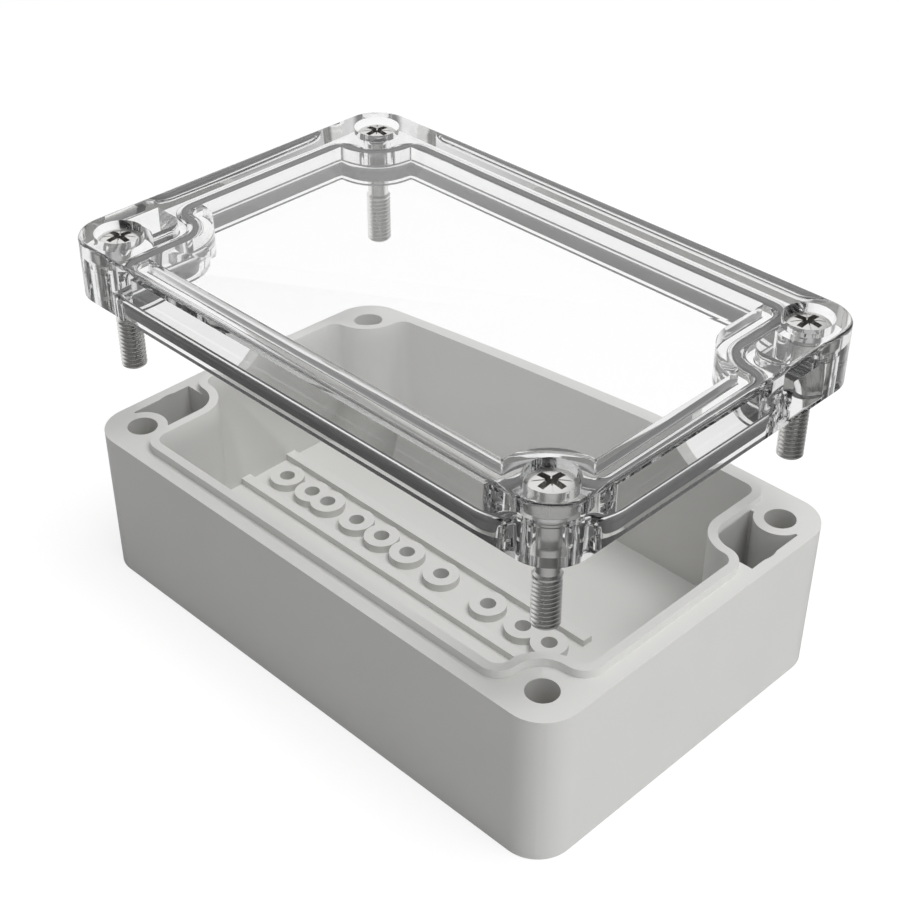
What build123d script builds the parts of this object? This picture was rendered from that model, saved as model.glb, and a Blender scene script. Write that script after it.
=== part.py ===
from build123d import *
import os

# Outside of the box
box_length = 98.0
box_width = 64.0
corner_radius = 6.0
base_height = 25.8
lid_height = 9.4
lid_lift = 25.3
lid_edge_bevel = 0.5
wall_draft = 0.5

# Sealing ridge on the base, and the groove and gasket in the lid that close on it
ridge_inset = 2.6
ridge_thickness = 1.45
ridge_height = 1.4
groove_play_outside = 1.0
groove_play_inside = 0.15
groove_depth = 2.9
groove_inner_wall = 1.55
gasket_height = 2.7
gasket_side_gap = 0.05

# Inside of the base
floor_thickness = 3.0
rib_height = 1.2
rib_width = 1.9
rib_offset = 5.1
rib_end_x = 25.0
ring_boss_height = 1.4
ring_boss_diameter = 6.0
ring_boss_hole_diameter = 2.6
ring_boss_hole_depth = 2.9
ring_boss_places = (-39.8, -33.3, -29.3, -22.0, -15.9, -9.8, -1.9, 8.6, 16.1, 21.6)

# Lid screws, their holes in the base and the threaded inserts that they turn in
screw_inset = 6.0
screw_hole_diameter = 4.8
screw_boss_wall = 2.25
thread_diameter = 4.0
thread_length = 8.2
neck_diameter = 3.35
head_diameter = 6.75
head_rim_height = 2.1
head_crown = 0.75
crown_diameter = 4.6
screw_length = 19.3
recess_span = 4.2
recess_width = 0.95
recess_depth = 1.5
insert_diameter = 5.6
insert_length = 8.0
insert_bottom = 12.0
insert_bore_gap = 0.06
insert_bed_gap = 0.03
tip_room = 1.5

# Screw wells in the lid
well_diameter = 7.4
neck_bore_gap = 0.175
neck_bore_length = 1.5
thread_bore_gap = 0.3

# Wall-mounting pockets, in two opposite corners
mount_inset_x = 6.0
mount_inset_y = 14.0
mount_hole_diameter = 4.4
pocket_reach = 4.4
pocket_outer_wall = 1.85
pocket_floor = 4.0
pocket_tip_room = 1.4
pocket_boss_radius = 4.0
lid_pocket_wall = 1.2

# Panel of the lid
panel_thickness = 3.5

# Places that follow from the sizes above
half_length = box_length / 2
half_width = box_width / 2
screw_x = half_length - screw_inset
screw_y = half_width - screw_inset
mount_x = half_length - mount_inset_x
mount_y = half_width - mount_inset_y
run_x = half_length - ridge_inset
run_y = half_width - ridge_inset
bend_radius = corner_radius - ridge_inset
insert_top = insert_bottom + insert_length
lid_bottom = base_height + lid_lift
well_floor = lid_height - panel_thickness
groove_inside = -ridge_thickness - groove_play_inside
lid_pocket_reach = pocket_reach - groove_play_outside - lid_pocket_wall
screw_corners = {"front_left": (-1, -1), "front_right": (1, -1), "rear_right": (1, 1), "rear_left": (-1, 1)}


# The seal's course, the line that the ridge, groove, gasket and cavity share. It runs straight
# along the walls, turns inboard round a screw boss at two corners, and round a wall-mounting
# pocket at the other two. It is drawn through the centres of its bends and grown to its place.
with BuildSketch() as bend_centres:
    Rectangle(2 * (run_x - bend_radius), 2 * (run_y - bend_radius))
    with PolarLocations(0, 2):
        with Locations((screw_x, -screw_y)):
            Circle(screw_hole_diameter / 2 + screw_boss_wall + bend_radius, mode=Mode.SUBTRACT)
            Rectangle(screw_inset, screw_inset, align=(Align.MIN, Align.MAX), mode=Mode.SUBTRACT)
        with Locations((mount_x, mount_y)):
            Circle(pocket_reach + bend_radius, mode=Mode.SUBTRACT)
            Rectangle(
                mount_inset_x, pocket_reach + bend_radius, align=(Align.MIN, Align.MAX), mode=Mode.SUBTRACT
            )
        with Locations((mount_x - pocket_reach - bend_radius, mount_y)):
            Rectangle(box_length, box_width, align=(Align.MIN, Align.MIN), mode=Mode.SUBTRACT)


def seal_course(outwards):
    """The face inside the seal's course, its edge moved outwards from the ridge's outer face."""
    return offset(bend_centres.sketch, amount=bend_radius + outwards, mode=Mode.PRIVATE)


def pocket_outline(inner_reach, boss_radius, far_y):
    """A slot round the mounting screw, cut off round the boss of the lid's screw."""
    outer_reach = mount_inset_x - pocket_outer_wall
    with BuildSketch() as outline:
        with Locations((mount_x, mount_y)):
            Circle(inner_reach)
            Rectangle(outer_reach, inner_reach, align=(Align.MIN, Align.MAX))
        with Locations((mount_x - inner_reach, mount_y)):
            Rectangle(inner_reach + outer_reach, far_y - mount_y, align=(Align.MIN, Align.MIN))
        with Locations((screw_x, screw_y)):
            Circle(boss_radius, mode=Mode.SUBTRACT)
    return outline.sketch


# Base: a drafted box with the ridge on its rim, open at the top
with BuildPart() as base:
    with BuildSketch():
        RectangleRounded(box_length, box_width, corner_radius)
    extrude(amount=base_height)
    draft(base.faces().filter_by(Axis.Z, reverse=True), Plane.XY.offset(base_height), -wall_draft)
    with BuildSketch(Plane.XY.offset(base_height)):
        add(seal_course(0))
    extrude(amount=ridge_height)
    with BuildSketch(Plane.XY.offset(floor_thickness)):
        add(seal_course(-ridge_thickness))
    extrude(amount=base_height + ridge_height - floor_thickness, mode=Mode.SUBTRACT)

    # Floor: two ribs from the left wall, and a row of ring bosses with pilot holes
    with BuildSketch(Plane.XY.offset(floor_thickness)):
        with Locations((-run_x, -rib_offset), (-run_x, rib_offset)):
            Rectangle(run_x + rib_end_x, rib_width, align=(Align.MIN, Align.CENTER))
    extrude(amount=rib_height)
    with BuildSketch(Plane.XY.offset(floor_thickness)):
        with Locations(*[(x, 0) for x in ring_boss_places]):
            Circle(ring_boss_diameter / 2)
    extrude(amount=ring_boss_height)
    with Locations(Plane.XY.offset(floor_thickness + ring_boss_height)):
        with Locations(*[(x, 0) for x in ring_boss_places]):
            Hole(ring_boss_hole_diameter / 2, depth=ring_boss_hole_depth)

    # Corner holes: clearance down to the insert, then its bed, which leaves room for the screw's tip
    with Locations(Plane.XY.offset(base_height)):
        with GridLocations(2 * screw_x, 2 * screw_y, 2, 2):
            Hole(screw_hole_diameter / 2, depth=base_height - insert_top)
    with BuildSketch(Plane.XY.offset(insert_top)):
        with GridLocations(2 * screw_x, 2 * screw_y, 2, 2):
            Circle(insert_diameter / 2 + insert_bed_gap)
    extrude(amount=-(insert_length + tip_room), mode=Mode.SUBTRACT)

    # Wall-mounting pockets and the holes through their floors
    with BuildSketch(Plane.XY.offset(pocket_floor)):
        with PolarLocations(0, 2):
            add(pocket_outline(pocket_reach, pocket_boss_radius, screw_y - pocket_tip_room))
    extrude(amount=base_height - pocket_floor, mode=Mode.SUBTRACT)
    with Locations(Plane.XY.offset(pocket_floor)):
        with Locations((mount_x, mount_y), (-mount_x, -mount_y)):
            Hole(mount_hole_diameter / 2, depth=pocket_floor)


# Lid: a clear panel with a deep moulded edge, grooved underneath for the gasket
with BuildPart() as lid:
    with BuildSketch(Plane.XY.offset(lid_bottom)):
        RectangleRounded(box_length, box_width, corner_radius)
    extrude(amount=lid_height)
    chamfer(lid.faces().sort_by(Axis.Z)[-1].edges(), length=lid_edge_bevel)
    with BuildSketch(Plane.XY.offset(lid_bottom)):
        add(seal_course(groove_inside - groove_inner_wall))
    extrude(amount=well_floor, mode=Mode.SUBTRACT)
    with BuildSketch(Plane.XY.offset(lid_bottom)):
        with PolarLocations(0, 2):
            add(pocket_outline(lid_pocket_reach, well_diameter / 2 + lid_pocket_wall, screw_y))
    extrude(amount=well_floor, mode=Mode.SUBTRACT)
    with BuildSketch(Plane.XY.offset(lid_bottom)):
        add(seal_course(groove_play_outside))
        add(seal_course(groove_inside), mode=Mode.SUBTRACT)
    extrude(amount=groove_depth, mode=Mode.SUBTRACT)

    # Screw wells: room for the head, a narrow bore that keeps the screw in, and a wide one below
    with Locations(Plane.XY.offset(lid_bottom + lid_height)):
        with GridLocations(2 * screw_x, 2 * screw_y, 2, 2):
            Hole(well_diameter / 2, depth=panel_thickness)
            Hole(neck_diameter / 2 + neck_bore_gap, depth=panel_thickness + neck_bore_length)
    with BuildSketch(Plane.XY.offset(lid_bottom)):
        with GridLocations(2 * screw_x, 2 * screw_y, 2, 2):
            Circle(thread_diameter / 2 + thread_bore_gap)
    extrude(amount=well_floor - neck_bore_length, mode=Mode.SUBTRACT)


# Gasket: a foam strip at the bottom of the lid's groove, at its open height. The closed lid presses
# it down onto the ridge, to what groove_depth leaves over ridge_height.
with BuildPart() as gasket:
    with BuildSketch(Plane.XY.offset(lid_bottom + groove_depth - gasket_height)):
        add(seal_course(groove_play_outside - gasket_side_gap))
        add(seal_course(groove_inside + gasket_side_gap), mode=Mode.SUBTRACT)
    extrude(amount=gasket_height)


# Lid screws: cheese head with a low bevelled crown and a cross recess, plain neck, threaded end
def make_lid_screw(x, y):
    head_seat = lid_bottom + well_floor
    tip = head_seat - screw_length
    with BuildPart() as screw:
        with BuildSketch(Plane.XZ.offset(-y)):
            with BuildLine():
                Polyline(
                    (x, tip),
                    (x + thread_diameter / 2, tip),
                    (x + thread_diameter / 2, tip + thread_length),
                    (x + neck_diameter / 2, tip + thread_length + (thread_diameter - neck_diameter) / 2),
                    (x + neck_diameter / 2, head_seat),
                    (x + head_diameter / 2, head_seat),
                    (x + head_diameter / 2, head_seat + head_rim_height),
                    (x + crown_diameter / 2, head_seat + head_rim_height + head_crown),
                    (x, head_seat + head_rim_height + head_crown),
                    close=True,
                )
            make_face()
        revolve(axis=Axis((x, y, 0), (0, 0, 1)))
        with BuildSketch(Plane.XY.offset(head_seat + head_rim_height + head_crown)):
            with Locations((x, y)):
                Rectangle(recess_span, recess_width)
                Rectangle(recess_width, recess_span)
        extrude(amount=-recess_depth, mode=Mode.SUBTRACT)
    return screw.part


# Threaded inserts: a plain sleeve, with the thread cut to its full diameter
def make_insert(x, y):
    with BuildPart() as insert:
        with BuildSketch(Plane.XY.offset(insert_bottom)):
            with Locations((x, y)):
                Circle(insert_diameter / 2)
                Circle(thread_diameter / 2 + insert_bore_gap, mode=Mode.SUBTRACT)
        extrude(amount=insert_length)
    return insert.part


pieces = {"base": base.part, "lid": lid.part, "gasket": gasket.part}
for corner, (side_x, side_y) in screw_corners.items():
    pieces["lid_screw_" + corner] = make_lid_screw(side_x * screw_x, side_y * screw_y)
    pieces["insert_" + corner] = make_insert(side_x * screw_x, side_y * screw_y)

os.makedirs("parts", exist_ok=True)
for label, piece in pieces.items():
    piece.label = label
    export_step(piece, "parts/" + label + ".step")
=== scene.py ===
from math import cos, pi, radians, sin

import bmesh
import bpy
from mathutils import Matrix, Vector


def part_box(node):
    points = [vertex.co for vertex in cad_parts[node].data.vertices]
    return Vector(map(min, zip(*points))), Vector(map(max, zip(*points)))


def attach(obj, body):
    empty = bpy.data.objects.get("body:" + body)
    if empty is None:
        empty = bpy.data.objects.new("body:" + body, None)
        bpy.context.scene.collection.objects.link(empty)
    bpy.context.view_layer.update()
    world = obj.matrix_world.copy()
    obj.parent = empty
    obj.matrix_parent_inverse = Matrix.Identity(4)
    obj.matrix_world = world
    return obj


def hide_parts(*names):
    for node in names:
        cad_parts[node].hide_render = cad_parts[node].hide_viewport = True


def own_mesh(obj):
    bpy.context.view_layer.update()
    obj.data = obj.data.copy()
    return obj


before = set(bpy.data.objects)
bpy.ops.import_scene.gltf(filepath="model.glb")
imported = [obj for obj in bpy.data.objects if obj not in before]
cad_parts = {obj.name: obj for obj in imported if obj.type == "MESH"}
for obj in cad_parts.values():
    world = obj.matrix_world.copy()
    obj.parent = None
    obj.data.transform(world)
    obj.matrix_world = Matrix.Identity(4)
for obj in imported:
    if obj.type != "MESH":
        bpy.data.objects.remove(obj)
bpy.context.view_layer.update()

# Base. One injection moulding in light grey polycarbonate, open at the top, with the sealing
# ridge, corner bosses, wall-mounting pockets, floor ribs and ring bosses all formed in one tool.
# Its faces are spark-eroded to a fine satin grain, and every edge is broken by the tool.
base_grey = (0.70, 0.698, 0.683, 1.0)
base_grain_size = 0.00025
base_grain_detail = 3.0
base_mottle_size = 0.012
base_mottle_detail = 2.0
base_mottle = 0.015
base_roughness = (0.42, 0.5)
base_refraction = 1.5
base_grain_strength = 0.12
base_grain_height = 0.00002
base_edge_break = 0.00012
edge_break_segments = 2
edge_angle = radians(25)
flat_angle = radians(0.3)
weld_distance = 0.000002
noise_low = 0.3
noise_high = 0.7


def plain_mesh(piece):
    """Turns a piece with live modifiers into a plain mesh with the same name."""
    bpy.context.view_layer.update()
    made = bpy.data.meshes.new_from_object(piece.evaluated_get(bpy.context.evaluated_depsgraph_get()))
    piece.modifiers.clear()
    piece.data = made
    made.name = piece.name
    return piece


def new_piece(name, mesh):
    piece = bpy.data.objects.new(name, mesh)
    bpy.context.scene.collection.objects.link(piece)
    return piece


def merge_flat_faces(shell):
    """Merges the faces that lie in one plane into whole ones."""
    bmesh.ops.dissolve_limit(
        shell, angle_limit=flat_angle, verts=shell.verts, edges=shell.edges,
        use_dissolve_boundaries=False,
    )


def welded_copy(node, name):
    """A copy of a CAD node with its triangles joined, and the flat ones merged into whole faces."""
    mesh = bpy.data.meshes.new(name)
    shell = bmesh.new()
    shell.from_mesh(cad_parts[node].data)
    bmesh.ops.remove_doubles(shell, verts=shell.verts, dist=weld_distance)
    merge_flat_faces(shell)
    shell.to_mesh(mesh)
    shell.free()
    return new_piece(name, mesh)


def smooth(piece, crease_angle):
    """Shades the faces as round where they meet at less than an angle."""
    for face in piece.data.polygons:
        face.use_smooth = True
    piece.data.set_sharp_from_angle(angle=crease_angle)


def break_edges(piece, width):
    """Rounds the sharp edges by a small radius and keeps the flat faces flat in their shading."""
    smooth(piece, edge_angle)
    bevel = piece.modifiers.new("edge break", "BEVEL")
    bevel.width = width
    bevel.segments = edge_break_segments
    bevel.limit_method = "ANGLE"
    bevel.angle_limit = edge_angle
    bevel.harden_normals = True
    bevel.use_clamp_overlap = True
    return plain_mesh(piece)


def node_group(name, inputs, outputs):
    """An empty shader group with number sockets, and its input and output nodes."""
    group = bpy.data.node_groups.new(name, "ShaderNodeTree")
    for socket, value in inputs.items():
        made = group.interface.new_socket(name=socket, in_out="INPUT", socket_type="NodeSocketFloat")
        made.default_value = value
    for socket in outputs:
        group.interface.new_socket(name=socket, in_out="OUTPUT", socket_type="NodeSocketFloat")
    return group, group.nodes.new("NodeGroupInput"), group.nodes.new("NodeGroupOutput")


def add_noise(group, place, size, detail):
    """A noise mask over a place, with the size of its blots from a socket, in metres."""
    per_metre = group.nodes.new("ShaderNodeMath")
    per_metre.operation = "DIVIDE"
    per_metre.inputs[0].default_value = 1.0
    group.links.new(size, per_metre.inputs[1])
    noise = group.nodes.new("ShaderNodeTexNoise")
    noise.inputs["Detail"].default_value = detail
    group.links.new(place, noise.inputs["Vector"])
    group.links.new(per_metre.outputs[0], noise.inputs["Scale"])
    return noise.outputs["Fac"]


def moulded_grain():
    """Tool grain: a fine eroded pebble with a slow flow mottle, as height and as a mask."""
    sizes = {"Grain size": base_grain_size, "Mottle size": base_mottle_size}
    group, given, result = node_group("moulded_grain", sizes, ("Height", "Mottle"))
    place = group.nodes.new("ShaderNodeTexCoord").outputs["Object"]
    grain = add_noise(group, place, given.outputs["Grain size"], base_grain_detail)
    mottle = add_noise(group, place, given.outputs["Mottle size"], base_mottle_detail)
    group.links.new(grain, result.inputs["Height"])
    group.links.new(mottle, result.inputs["Mottle"])
    return group


grain_group = moulded_grain()


def new_material(name):
    material = bpy.data.materials.new(name)
    material.use_nodes = True
    return material, material.node_tree, material.node_tree.nodes["Principled BSDF"]


def place_group(tree, group, values=None):
    """A shader group placed in a material, with its own values."""
    placed = tree.nodes.new("ShaderNodeGroup")
    placed.node_tree = group
    for socket, value in (values or {}).items():
        placed.inputs[socket].default_value = value
    return placed.outputs


def remap(tree, mask, span):
    """A noise mask turned into a value between the two of a span."""
    spread = tree.nodes.new("ShaderNodeMapRange")
    limits = {"From Min": noise_low, "From Max": noise_high, "To Min": span[0], "To Max": span[1]}
    for socket, value in limits.items():
        spread.inputs[socket].default_value = value
    tree.links.new(mask, spread.inputs["Value"])
    return spread.outputs["Result"]


def tint(tree, mask, colour, share):
    """A colour that a mask from 0 to 1 makes darker or lighter by up to a share of itself."""
    blend = tree.nodes.new("ShaderNodeMix")
    blend.data_type = "RGBA"
    for socket, factor in (("A", 1.0 - share), ("B", 1.0 + share)):
        blend.inputs[socket].default_value = [channel * factor for channel in colour[:3]] + [1.0]
    tree.links.new(mask, blend.inputs["Factor"])
    return blend.outputs["Result"]


def bump(tree, shader, height, strength, distance):
    relief = tree.nodes.new("ShaderNodeBump")
    relief.inputs["Strength"].default_value = strength
    relief.inputs["Distance"].default_value = distance
    tree.links.new(height, relief.inputs["Height"])
    tree.links.new(relief.outputs["Normal"], shader.inputs["Normal"])


def satin_moulding():
    material, tree, shader = new_material("satin_grey_moulding")
    grain = place_group(tree, grain_group)
    tree.links.new(tint(tree, grain["Mottle"], base_grey, base_mottle), shader.inputs["Base Color"])
    tree.links.new(remap(tree, grain["Mottle"], base_roughness), shader.inputs["Roughness"])
    shader.inputs["IOR"].default_value = base_refraction
    bump(tree, shader, grain["Height"], base_grain_strength, base_grain_height)
    return material


def give_material(piece, material):
    piece.data.materials.clear()
    piece.data.materials.append(material)


base_shell = break_edges(welded_copy("base", "base_moulding"), base_edge_break)
give_material(base_shell, satin_moulding())
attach(base_shell, "base")
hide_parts("base")


# Threaded inserts. Four turned brass sleeves, knurled outside so that the plastic grips them, and
# set deep in the base's corner bosses when it is moulded. The lid screws turn in their threads.
corners = ("front_left", "front_right", "rear_right", "rear_left")
insert_brass = (0.62, 0.45, 0.19, 1.0)
insert_roughness = (0.28, 0.42)
insert_wear = 0.08
insert_wall = 0.00074
insert_chamfer = 0.0003
insert_rows = 60
insert_crease_angle = radians(40)
insert_thread_depth = 0.00022
thread_pitch = 0.0007
thread_flank_power = 1.2
knurl_count = 24
knurl_depth = 0.00016
knurl_lean_per_metre = 700.0
turned_segments = 72
wall_margin = 0.00001
scuff_length = 0.004
scuff_thinness = 14.0
scuff_detail = 4.0
scuff_height = 0.00001


def lathe(name, profile, segments):
    """A solid turned round Z from (radius, height) points, lowest axis point first."""
    mesh = bpy.data.meshes.new(name)
    solid = bmesh.new()
    rings = []
    for radius, height in profile:
        if radius < weld_distance:
            rings.append([solid.verts.new((0, 0, height))] * segments)
        else:
            angles = [2 * pi * step / segments for step in range(segments)]
            rings.append([solid.verts.new((radius * cos(a), radius * sin(a), height)) for a in angles])
    for lower, upper in zip(rings, rings[1:]):
        for step in range(segments):
            onward = (step + 1) % segments
            corner_loop = [lower[step], lower[onward], upper[onward], upper[step]]
            solid.faces.new(list(dict.fromkeys(corner_loop)))
    bmesh.ops.remove_doubles(solid, verts=solid.verts, dist=weld_distance)
    bmesh.ops.recalc_face_normals(solid, faces=solid.faces)
    solid.to_mesh(mesh)
    solid.free()
    return new_piece(name, mesh)


def between(low, high, count):
    """Numbers from low to high, both included, in a count of equal steps."""
    return [low + (high - low) * step / count for step in range(count + 1)]


class TreeMaker:
    """Places nodes in a geometry tree and links them as it goes."""

    def __init__(self, name, inputs):
        self.tree = bpy.data.node_groups.new(name, "GeometryNodeTree")
        self.tree.interface.new_socket(name="Geometry", in_out="INPUT", socket_type="NodeSocketGeometry")
        self.identifiers = {}
        for socket, (kind, value) in inputs.items():
            made = self.tree.interface.new_socket(name=socket, in_out="INPUT", socket_type=kind)
            if value is not None:
                made.default_value = value
            self.identifiers[socket] = made.identifier
        self.tree.interface.new_socket(name="Geometry", in_out="OUTPUT", socket_type="NodeSocketGeometry")
        self.given = self.tree.nodes.new("NodeGroupInput").outputs
        self.result = self.tree.nodes.new("NodeGroupOutput").inputs["Geometry"]

    def node(self, kind, values=None, **settings):
        """A node with its settings, and its inputs linked to sockets or set to plain values."""
        made = self.tree.nodes.new(kind)
        for setting, value in settings.items():
            setattr(made, setting, value)
        for socket, value in (values or {}).items():
            if isinstance(value, bpy.types.NodeSocket):
                self.tree.links.new(value, made.inputs[socket])
            else:
                made.inputs[socket].default_value = value
        return made.outputs

    def math(self, operation, first, second=0.0):
        return self.node("ShaderNodeMath", {0: first, 1: second}, operation=operation)[0]

    def finish(self, geometry):
        """Moves the geometry to its place, gives it its material and ends the tree."""
        placed = self.node(
            "GeometryNodeTransform", {"Geometry": geometry, "Translation": self.given["Place"]}
        )[0]
        realized = self.node("GeometryNodeRealizeInstances", {"Geometry": placed})[0]
        finished = self.node(
            "GeometryNodeSetMaterial", {"Geometry": realized, "Material": self.given["Material"]}
        )[0]
        self.tree.links.new(finished, self.result)


def position(maker):
    """Each point's place along X, Y and Z."""
    return maker.node("ShaderNodeSeparateXYZ", {0: maker.node("GeometryNodeInputPosition")[0]})


def angle_and_height(maker):
    """Each point's angle round Z, and its height."""
    point = position(maker)
    return maker.math("ARCTAN2", point[1], point[0]), point[2]


def move_out(maker, geometry, wall_radius, amount):
    """Moves the points on the wall of a given radius away from the Z axis by an amount."""
    point = position(maker)
    squares = [maker.math("MULTIPLY", part, part) for part in (point[0], point[1])]
    radius = maker.math("POWER", maker.math("ADD", *squares), 0.5)
    grow = maker.math("DIVIDE", amount, radius)
    shift = maker.node(
        "ShaderNodeCombineXYZ",
        {0: maker.math("MULTIPLY", point[0], grow), 1: maker.math("MULTIPLY", point[1], grow)},
    )[0]
    on_wall = maker.node(
        "FunctionNodeCompare", {0: radius, 1: wall_radius, 12: wall_margin},
        data_type="FLOAT", operation="EQUAL",
    )[0]
    return maker.node(
        "GeometryNodeSetPosition", {"Geometry": geometry, "Selection": on_wall, "Offset": shift}
    )[0]


def thread_band(maker, geometry):
    """Cuts a thread into the points on the given wall, between its two ends, fading out there.
    The depth is above 0 in a bore, where a valley lies farther out, and below 0 on a screw."""
    angle, height = angle_and_height(maker)
    turns = maker.math("DIVIDE", height, maker.given["Pitch"])
    phase = maker.math("FRACT", maker.math("SUBTRACT", turns, maker.math("DIVIDE", angle, 2 * pi)))
    crest = maker.math("ABSOLUTE", maker.math("SINE", maker.math("MULTIPLY", phase, pi)))
    valley = maker.math("SUBTRACT", 1.0, maker.math("POWER", crest, thread_flank_power))
    fades = [
        maker.node("ShaderNodeMapRange", {"Value": from_end, "From Max": maker.given["Run-out"]})[0]
        for from_end in (
            maker.math("SUBTRACT", height, maker.given["Start"]),
            maker.math("SUBTRACT", maker.given["End"], height),
        )
    ]
    depth = maker.math("MULTIPLY", valley, maker.given["Depth"])
    amount = maker.math("MULTIPLY", depth, maker.math("MULTIPLY", *fades))
    return move_out(maker, geometry, maker.given["Wall radius"], amount)


thread_inputs = {
    "Pitch": ("NodeSocketFloat", thread_pitch),
    "Depth": ("NodeSocketFloat", 0.0),
    "Wall radius": ("NodeSocketFloat", 0.0),
    "Start": ("NodeSocketFloat", 0.0),
    "End": ("NodeSocketFloat", 0.0),
    "Run-out": ("NodeSocketFloat", thread_pitch),
    "Place": ("NodeSocketVector", None),
    "Material": ("NodeSocketMaterial", None),
}


def insert_tree():
    """A thread in the bore, and two sets of leaning grooves that cross outside as a knurl."""
    maker = TreeMaker("knurled_insert", {
        **thread_inputs,
        "Knurls": ("NodeSocketFloat", float(knurl_count)),
        "Knurl lean": ("NodeSocketFloat", knurl_lean_per_metre),
        "Knurl depth": ("NodeSocketFloat", knurl_depth),
        "Outer radius": ("NodeSocketFloat", 0.0),
    })
    threaded = thread_band(maker, maker.given["Geometry"])
    angle, height = angle_and_height(maker)
    around = maker.math("MULTIPLY", angle, maker.given["Knurls"])
    lean = maker.math("MULTIPLY", height, maker.given["Knurl lean"])
    waves = []
    for operation in ("ADD", "SUBTRACT"):
        half_swing = maker.math("MULTIPLY", maker.math(operation, around, lean), 0.5)
        waves.append(maker.math("ABSOLUTE", maker.math("SINE", half_swing)))
    diamond = maker.math("SUBTRACT", maker.math("MINIMUM", *waves), 1.0)
    amount = maker.math("MULTIPLY", diamond, maker.given["Knurl depth"])
    maker.finish(move_out(maker, threaded, maker.given["Outer radius"], amount))
    return maker


def use_tree(piece, maker, values):
    """Runs a geometry tree on a piece and keeps the result as its plain mesh."""
    modifier = piece.modifiers.new("tree", "NODES")
    modifier.node_group = maker.tree
    for socket, value in values.items():
        modifier[maker.identifiers[socket]] = value
    return plain_mesh(piece)


def scuffs():
    """Fine handling marks: long thin scratches that show as small changes of roughness."""
    sizes = {"Length": scuff_length, "Thinness": scuff_thinness}
    group, given, result = node_group("handling_scuffs", sizes, ("Mask",))
    place = group.nodes.new("ShaderNodeTexCoord").outputs["Object"]
    stretch = group.nodes.new("ShaderNodeCombineXYZ")
    stretch.inputs[1].default_value = 1.0
    stretch.inputs[2].default_value = 1.0
    group.links.new(given.outputs["Thinness"], stretch.inputs[0])
    scaled = group.nodes.new("ShaderNodeVectorMath")
    scaled.operation = "MULTIPLY"
    group.links.new(place, scaled.inputs[0])
    group.links.new(stretch.outputs[0], scaled.inputs[1])
    marks = add_noise(group, scaled.outputs[0], given.outputs["Length"], scuff_detail)
    group.links.new(marks, result.inputs["Mask"])
    return group


scuff_group = scuffs()


def turned_metal(name, colour, roughness, wear):
    """Bare metal off a lathe, with handling marks in its gloss, colour and relief."""
    material, tree, shader = new_material(name)
    marks = place_group(tree, scuff_group)["Mask"]
    tree.links.new(tint(tree, marks, colour, wear), shader.inputs["Base Color"])
    tree.links.new(remap(tree, marks, roughness), shader.inputs["Roughness"])
    shader.inputs["Metallic"].default_value = 1.0
    bump(tree, shader, marks, wear, scuff_height)
    return material


def insert_profile(outer, half):
    """Radius and height round one side of the sleeve's wall, from its lower outer edge."""
    bore = outer - insert_wall
    outside = [(outer, z) for z in between(-half + insert_chamfer, half - insert_chamfer, insert_rows)]
    inside = [(bore, z) for z in between(half - insert_chamfer, -half + insert_chamfer, insert_rows)]
    lower_edge = [(outer - insert_chamfer, -half)]
    top = [(outer - insert_chamfer, half), (bore + insert_chamfer, half)]
    return lower_edge + outside + top + inside + [(bore + insert_chamfer, -half)] + lower_edge


brass = turned_metal("turned_brass", insert_brass, insert_roughness, insert_wear)
knurled_insert = insert_tree()
for corner in corners:
    low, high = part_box("insert_" + corner)
    outer = (high.x - low.x) / 2
    half = (high.z - low.z) / 2
    sleeve = lathe("brass_insert_" + corner, insert_profile(outer, half), turned_segments)
    use_tree(
        sleeve,
        knurled_insert,
        {
            "Depth": insert_thread_depth, "Wall radius": outer - insert_wall,
            "Start": -half + insert_chamfer, "End": half - insert_chamfer,
            "Outer radius": outer, "Place": (low + high) / 2, "Material": brass,
        },
    )
    smooth(sleeve, insert_crease_angle)
    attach(sleeve, "base")
    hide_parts("insert_" + corner)


# Gasket. One closed strip of dark grey foam rubber, stuck in the bottom of the lid's groove all the
# way round. It stands open here, and the base's ridge presses it to half its height.
gasket_grey = (0.15, 0.15, 0.15, 1.0)
gasket_mottle = 0.15
gasket_roughness = (0.6, 0.8)
gasket_cells = {"Grain size": 0.0004, "Mottle size": 0.003}
gasket_cell_strength = 0.3
gasket_cell_height = 0.00005
gasket_edge = 0.00015
gasket_side_play = 0.0003
gasket_crown_press = 0.000015
gasket_crown_round = 0.00094
round_segments = 6


def at_height(height):
    return lambda vertex: abs(vertex.co.z - height) < weld_distance


def level_edge(height, wall_end):
    """Chooses the edges that lie flat at one height, on the walls that end at another."""
    def chosen(edge):
        wall = min(edge.link_faces, key=lambda face: abs(face.normal.z))
        return all(map(at_height(height), edge.verts)) and any(map(at_height(wall_end), wall.verts))
    return chosen


def round_edges(piece, chosen, radius):
    """Rounds the sharp edges that chosen(edge) picks out."""
    solid = bmesh.new()
    solid.from_mesh(piece.data)
    sharp = [edge for edge in solid.edges if edge.calc_face_angle() > edge_angle]
    bmesh.ops.bevel(
        solid, geom=list(filter(chosen, sharp)), offset=radius, offset_type="OFFSET",
        segments=round_segments, profile=0.5, affect="EDGES", clamp_overlap=True,
    )
    solid.to_mesh(piece.data)
    solid.free()


def narrow_strip(piece, middle_height):
    """Draws the strip's upright sides in by their play, and presses its crown into the ceiling."""
    strip = bmesh.new()
    strip.from_mesh(piece.data)
    strip.normal_update()
    moves = {}
    for vertex in strip.verts:
        sides = [face.normal for face in vertex.link_faces if abs(face.normal.z) < 0.5]
        moves[vertex] = -gasket_side_play * sum(sides, Vector()).normalized()
        if vertex.co.z > middle_height:
            moves[vertex].z = gasket_crown_press
    for vertex, move in moves.items():
        vertex.co += move
    strip.to_mesh(piece.data)
    strip.free()


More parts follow.
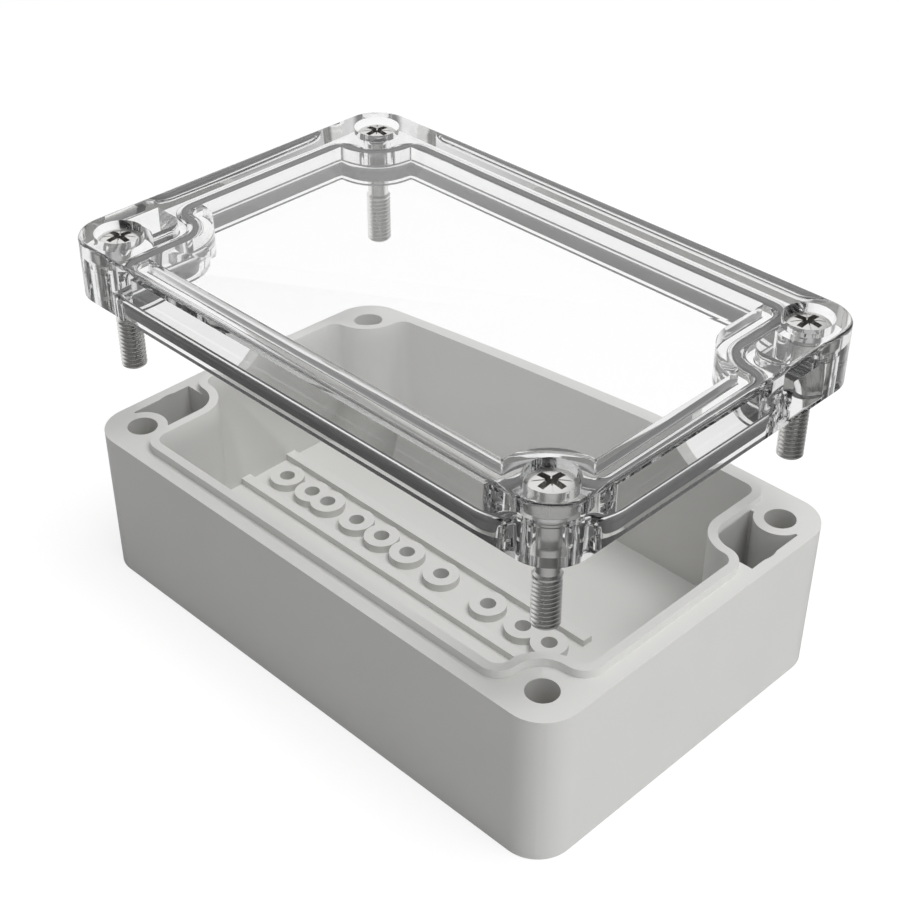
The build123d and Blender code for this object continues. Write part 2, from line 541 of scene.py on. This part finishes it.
def foam_rubber():
    material, tree, shader = new_material("foam_rubber")
    cells = place_group(tree, grain_group, gasket_cells)
    tree.links.new(tint(tree, cells["Mottle"], gasket_grey, gasket_mottle), shader.inputs["Base Color"])
    tree.links.new(remap(tree, cells["Height"], gasket_roughness), shader.inputs["Roughness"])
    bump(tree, shader, cells["Height"], gasket_cell_strength, gasket_cell_height)
    return material


low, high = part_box("gasket")
gasket_strip = welded_copy("gasket", "gasket_strip")
narrow_strip(gasket_strip, (low.z + high.z) / 2)
round_edges(gasket_strip, level_edge(high.z + gasket_crown_press, low.z), gasket_crown_round)
break_edges(gasket_strip, gasket_edge)
give_material(gasket_strip, foam_rubber())
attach(gasket_strip, "lid")
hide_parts("gasket")
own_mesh(gasket_strip)


# Lid. One moulding in clear polycarbonate: a thick flat panel, and a deep edge with the gasket's
# groove and the screw wells in it. Polished all over, so that the edge acts as a prism.
lid_clear = (1.0, 1.0, 1.0, 1.0)
lid_refraction = 1.585
lid_roughness = (0.0, 0.015)
lid_flow = {"Grain size": 0.02}
lid_absorption = 9.0
lid_absorbed_colour = (0.0, 0.02, 0.0, 1.0)
lid_edge_break = 0.00012
lid_top_round = 0.0005
panel_underside = 0.057
groove_ceiling = 0.054
groove_round = 0.00128
inner_lip_round = 0.0008


def clear_polycarbonate():
    """Clear plastic that bends what is seen through it, dims it with the depth of plastic passed,
    and lets lamp light through unbent."""
    material, tree, shader = new_material("clear_polycarbonate")
    flow = place_group(tree, grain_group, lid_flow)
    tree.links.new(remap(tree, flow["Height"], lid_roughness), shader.inputs["Roughness"])
    shader.inputs["Base Color"].default_value = lid_clear
    shader.inputs["IOR"].default_value = lid_refraction
    shader.inputs["Transmission Weight"].default_value = 1.0
    path = tree.nodes.new("ShaderNodeLightPath")
    straight = tree.nodes.new("ShaderNodeBsdfTransparent")
    straight.inputs["Color"].default_value = lid_clear
    shown = shader.outputs[0]
    for ray in ("Is Diffuse Ray", "Is Shadow Ray"):
        choice = tree.nodes.new("ShaderNodeMixShader")
        tree.links.new(path.outputs[ray], choice.inputs[0])
        tree.links.new(shown, choice.inputs[1])
        tree.links.new(straight.outputs[0], choice.inputs[2])
        shown = choice.outputs[0]
    tree.links.new(shown, tree.nodes["Material Output"].inputs["Surface"])
    depth = tree.nodes.new("ShaderNodeVolumeAbsorption")
    depth.inputs["Color"].default_value = lid_absorbed_colour
    depth.inputs["Density"].default_value = lid_absorption
    tree.links.new(depth.outputs[0], tree.nodes["Material Output"].inputs["Volume"])
    return material


def square_top(piece, top):
    """Lifts the CAD's small bevel up to the top face, so that the edge can be rounded instead."""
    moulding = bmesh.new()
    moulding.from_mesh(piece.data)
    for vertex in filter(at_height(top - lid_top_round), moulding.verts):
        vertex.co.z = top
    merge_flat_faces(moulding)
    moulding.to_mesh(piece.data)
    moulding.free()


low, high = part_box("lid")
clear_lid = welded_copy("lid", "clear_lid")
square_top(clear_lid, high.z)
round_edges(clear_lid, level_edge(high.z, low.z), lid_top_round)
round_edges(clear_lid, level_edge(groove_ceiling, low.z), groove_round)
round_edges(clear_lid, level_edge(low.z, panel_underside), inner_lip_round)
break_edges(clear_lid, lid_edge_break)
give_material(clear_lid, clear_polycarbonate())
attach(clear_lid, "lid")
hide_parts("lid")


# Lid screws. Four stainless screws, captive in the lid's wells: a cheese head with a low crown and
# a cross recess with four tick marks, a plain neck that floats in the narrow bore, a rolled thread.
screw_steel = (0.74, 0.735, 0.72, 1.0)
screw_roughness = (0.22, 0.28)
screw_wear = 0.02
screw_segments = 96
screw_crease_angle = radians(35)
thread_diameter = 0.004
thread_length = 0.0082
thread_rows = 190
screw_thread_depth = 0.0003
neck_diameter = 0.00335
tip_bevel = 0.0002
head_rim = 0.0021
head_crown = 0.00075
crown_steps = 14
rim_round = 0.00025
recess_span = 0.0048
recess_width = 0.0011
recess_depth = 0.0019
recess_taper = 0.72
tick_span = 0.0048
tick_width = 0.00018
tick_depth = 0.00035


def cross_cutter(maker):
    """The shape of the recess: two tapered blades crossed, and two thin ones for the tick marks.
    No two are equally deep, because faces that coincide would upset the cut."""
    blades = []
    crown = maker.node("ShaderNodeCombineXYZ", {2: maker.given["Crown height"]})[0]
    for mark, taper, deeper, turn in (
        ("Recess", recess_taper, 1.0, 0.0),
        ("Recess", recess_taper, 1.02, pi / 2),
        ("Tick", 1.0, 1.0, pi / 4),
        ("Tick", 1.0, 1.04, 3 * pi / 4),
    ):
        size = maker.node("ShaderNodeCombineXYZ", {
            0: maker.given[mark + " span"],
            1: maker.given[mark + " width"],
            2: maker.math("MULTIPLY", maker.given[mark + " depth"], 2 * deeper),
        })[0]
        blade = maker.node("GeometryNodeMeshCube", {"Size": size})[0]
        point = position(maker)
        lower = maker.node(
            "FunctionNodeCompare", {0: point[2], 1: 0.0}, data_type="FLOAT", operation="LESS_THAN"
        )[0]
        inward = [maker.math("MULTIPLY", part, taper - 1.0) for part in (point[0], point[1])]
        narrow = maker.node("ShaderNodeCombineXYZ", {0: inward[0], 1: inward[1]})[0]
        tapered = maker.node(
            "GeometryNodeSetPosition", {"Geometry": blade, "Selection": lower, "Offset": narrow}
        )[0]
        blades.append(maker.node(
            "GeometryNodeTransform",
            {"Geometry": tapered, "Rotation": (0.0, 0.0, turn), "Translation": crown},
        )[0])
    return blades


def screw_tree():
    """A thread on the screw's end, and the recess and tick marks cut into its crown."""
    maker = TreeMaker("lid_screw", {
        **thread_inputs,
        "Crown height": ("NodeSocketFloat", 0.0),
        "Recess span": ("NodeSocketFloat", recess_span),
        "Recess width": ("NodeSocketFloat", recess_width),
        "Recess depth": ("NodeSocketFloat", recess_depth),
        "Tick span": ("NodeSocketFloat", tick_span),
        "Tick width": ("NodeSocketFloat", tick_width),
        "Tick depth": ("NodeSocketFloat", tick_depth),
    })
    threaded = thread_band(maker, maker.given["Geometry"])
    cut = maker.tree.nodes.new("GeometryNodeMeshBoolean")
    cut.operation = "DIFFERENCE"
    cut.solver = "EXACT"
    cut.inputs["Self Intersection"].default_value = True
    maker.tree.links.new(threaded, cut.inputs["Mesh 1"])
    for blade in cross_cutter(maker):
        maker.tree.links.new(blade, cut.inputs["Mesh 2"])
    maker.finish(cut.outputs["Mesh"])
    return maker


def screw_profile(length, head_radius):
    """Radius and height from the tip to the crown, with the tip at height 0."""
    thread_radius = thread_diameter / 2
    neck_radius = neck_diameter / 2
    seat = length - head_rim - head_crown
    rim_top = seat + head_rim
    tip = [(0.0, 0.0), (thread_radius - tip_bevel, 0.0), (thread_radius - tip_bevel / 2, tip_bevel / 2)]
    thread = [(thread_radius, z) for z in between(tip_bevel, thread_length, thread_rows)]
    neck = [(neck_radius, thread_length + thread_radius - neck_radius), (neck_radius, seat)]
    rim = [(head_radius - rim_round, seat), (head_radius, seat + rim_round), (head_radius, rim_top)]
    arc = between(0, pi / 2, crown_steps)[1:-1]
    crown = [(head_radius * cos(a), rim_top + head_crown * sin(a)) for a in arc]
    return tip + thread + neck + rim + crown + [(0.0, rim_top + head_crown)]


steel = turned_metal("rolled_stainless_steel", screw_steel, screw_roughness, screw_wear)
lid_screw = screw_tree()
for corner in corners:
    low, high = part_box("lid_screw_" + corner)
    middle = (low + high) / 2
    length = high.z - low.z
    profile = screw_profile(length, (high.x - low.x) / 2)
    screw = lathe("steel_screw_" + corner, profile, screw_segments)
    use_tree(
        screw,
        lid_screw,
        {
            "Depth": -screw_thread_depth, "Wall radius": thread_diameter / 2,
            "Start": tip_bevel / 2, "End": thread_length, "Crown height": length,
            "Place": Vector((middle.x, middle.y, low.z)), "Material": steel,
        },
    )
    smooth(screw, screw_crease_angle)
    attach(screw, "lid_screw_" + corner)
    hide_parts("lid_screw_" + corner)


# Studio. A plain pale floor in soft even light, with a large lamp overhead and a low one on the
# right, neither of them seen in the polished pieces. The lens sees white behind the object, also
# through clear plastic. A polished surface mirrors a room that is white behind it, dim in front.
white = (1.0, 1.0, 1.0, 1.0)
floor_grey = (0.55, 0.55, 0.55, 1.0)
floor_roughness = 0.9
floor_size = 6.0
floor_gap = 0.00005
floor_glow = 0.78
floor_shade = 0.27
ambient = 0.365
front = (0.7071, -0.7071, 0.0)
rightward = (0.7071, 0.7071, 0.0)
# What is mirrored gets darker or lighter along a direction: where it starts and ends, by what factor
# On the floor these two steps are painted shade in front of the object, which fades farther out
floor_painted_shade_in_front = (front, -0.06, 0.0, 0.13)
floor_painted_shade_fading_beyond = (front, 0.055, 0.11, 3.8)
room_dark_in_front = (front, -0.5, 0.4, 0.15)
room_dimmer_on_right = (rightward, 0.1, 0.7, 0.4)


def math_node(tree, operation, first, second):
    """A Math node on two sockets, or on a socket and a number."""
    made = tree.nodes.new("ShaderNodeMath")
    made.operation = operation
    for socket, value in zip(made.inputs, (first, second)):
        if isinstance(value, bpy.types.NodeSocket):
            tree.links.new(value, socket)
        else:
            socket.default_value = value
    return made.outputs[0]


def seeing_rays(tree):
    """1 for the rays that show the background, 0 for the ones that only carry light."""
    path = tree.nodes.new("ShaderNodeLightPath").outputs
    looking = math_node(tree, "MAXIMUM", path["Is Camera Ray"], path["Is Glossy Ray"])
    return math_node(tree, "MAXIMUM", looking, path["Is Transmission Ray"])


def mirrored_level(tree, place, *steps):
    """1 for rays that nothing mirrored. For mirrored ones each step changes it, along a direction."""
    level = 1.0
    for direction, start, stop, factor in steps:
        along = tree.nodes.new("ShaderNodeVectorMath")
        along.operation = "DOT_PRODUCT"
        along.inputs[1].default_value = direction
        tree.links.new(place, along.inputs[0])
        change = tree.nodes.new("ShaderNodeMapRange")
        change.interpolation_type = "SMOOTHSTEP"
        limits = {"From Min": start, "From Max": stop, "To Min": 1.0, "To Max": factor}
        for socket, value in limits.items():
            change.inputs[socket].default_value = value
        tree.links.new(along.outputs["Value"], change.inputs["Value"])
        level = math_node(tree, "MULTIPLY", change.outputs["Result"], level)
    path = tree.nodes.new("ShaderNodeLightPath").outputs
    mirrored = math_node(tree, "MINIMUM", path["Glossy Depth"], 1.0)
    return math_node(tree, "POWER", level, mirrored)


def pale_floor():
    """A grey floor for the light that it throws back, and a white one, with shadows, to look at."""
    material, tree, shader = new_material("pale_floor")
    shader.inputs["Base Color"].default_value = floor_grey
    shader.inputs["Roughness"].default_value = floor_roughness
    place = tree.nodes.new("ShaderNodeTexCoord").outputs["Object"]
    # In mirrors the floor shows painted shade in front of the object, which fades farther out
    level = mirrored_level(tree, place, floor_painted_shade_in_front, floor_painted_shade_fading_beyond)
    shadow_catcher = tree.nodes.new("ShaderNodeBsdfDiffuse")
    glow = tree.nodes.new("ShaderNodeEmission")
    tree.links.new(math_node(tree, "MULTIPLY", level, floor_shade), shadow_catcher.inputs["Color"])
    tree.links.new(math_node(tree, "MULTIPLY", level, floor_glow), glow.inputs["Strength"])
    white_floor = tree.nodes.new("ShaderNodeAddShader")
    look = tree.nodes.new("ShaderNodeMixShader")
    tree.links.new(shadow_catcher.outputs[0], white_floor.inputs[0])
    tree.links.new(glow.outputs[0], white_floor.inputs[1])
    tree.links.new(seeing_rays(tree), look.inputs[0])
    tree.links.new(shader.outputs[0], look.inputs[1])
    tree.links.new(white_floor.outputs[0], look.inputs[2])
    tree.links.new(look.outputs[0], tree.nodes["Material Output"].inputs["Surface"])
    return material


# The floor lies a hair below the base, because two faces in one plane would show through each other
floor_mesh = bpy.data.meshes.new("floor")
floor_plane = bmesh.new()
bmesh.ops.create_grid(
    floor_plane, x_segments=1, y_segments=1, size=floor_size / 2,
    matrix=Matrix.Translation((0, 0, -floor_gap)),
)
floor_plane.to_mesh(floor_mesh)
floor_plane.free()
floor = new_piece("floor", floor_mesh)
give_material(floor, pale_floor())

world = bpy.data.worlds.new("studio")
bpy.context.scene.world = world
world.use_nodes = True
room = world.node_tree
sky = room.nodes["Background"]
sky.inputs["Color"].default_value = white
brightness = room.nodes.new("ShaderNodeMapRange")
brightness.inputs["To Min"].default_value = ambient
brightness.inputs["To Max"].default_value = 1.0
room.links.new(seeing_rays(room), brightness.inputs["Value"])
room_place = room.nodes.new("ShaderNodeTexCoord").outputs["Generated"]
room_level = mirrored_level(room, room_place, room_dark_in_front, room_dimmer_on_right)
room.links.new(
    math_node(room, "MULTIPLY", brightness.outputs["Result"], room_level), sky.inputs["Strength"]
)


def add_lamp(name, place, power, width, height, aim):
    """An oval lamp that lights the pieces but isn't itself seen in or through the polished ones."""
    data = bpy.data.lights.new(name, "AREA")
    data.shape = "ELLIPSE"
    data.size = width
    data.size_y = height
    data.energy = power
    lamp = bpy.data.objects.new(name, data)
    lamp.location = place
    lamp.rotation_euler = (Vector(place) - Vector(aim)).to_track_quat("Z", "Y").to_euler()
    lamp.visible_glossy = False
    lamp.visible_transmission = False
    bpy.context.scene.collection.objects.link(lamp)


add_lamp("overhead_lamp", (0.30, 0.10, 1.03), power=7.8, width=0.7, height=0.7, aim=(0.0, 0.0, 0.0))
add_lamp("side_lamp", (0.9, 0.1, 0.04), power=2.6, width=0.9, height=0.08, aim=(0.0, 0.0, 0.02))


# Camera at the photograph's place and angle, found from the straight edges of the box in it. It
# is level to a tenth of a degree.
camera_place = Vector((0.15066, -0.15120, 0.18048))
view_azimuth = radians(44.885)
view_elevation = radians(35.243)
view_roll = radians(0.10)
sensor_width_mm = 36.0
focal_length_mm = 68.784
back = Vector((
    sin(view_azimuth) * cos(view_elevation), -cos(view_azimuth) * cos(view_elevation), sin(view_elevation)
))
level_right = Vector((cos(view_azimuth), sin(view_azimuth), 0))
level_up = back.cross(level_right)
right = level_right * cos(view_roll) + level_up * sin(view_roll)
up = level_up * cos(view_roll) - level_right * sin(view_roll)
camera_data = bpy.data.cameras.new("camera")
camera_data.sensor_width = sensor_width_mm
camera_data.lens = focal_length_mm
camera = bpy.data.objects.new("camera", camera_data)
camera.matrix_world = Matrix.Translation(camera_place) @ Matrix((right, up, back)).transposed().to_4x4()
bpy.context.scene.collection.objects.link(camera)
bpy.context.scene.camera = camera
bpy.context.scene.view_settings.view_transform = "Standard"

# Clear plastic mirrors light inside itself more often than Blender follows it by default, and the
# light that ends too early would leave black patches in the lid.
bounce_limit = 20
for limit in ("max_bounces", "glossy_bounces", "transmission_bounces"):
    setattr(bpy.context.scene.cycles, limit, bounce_limit)
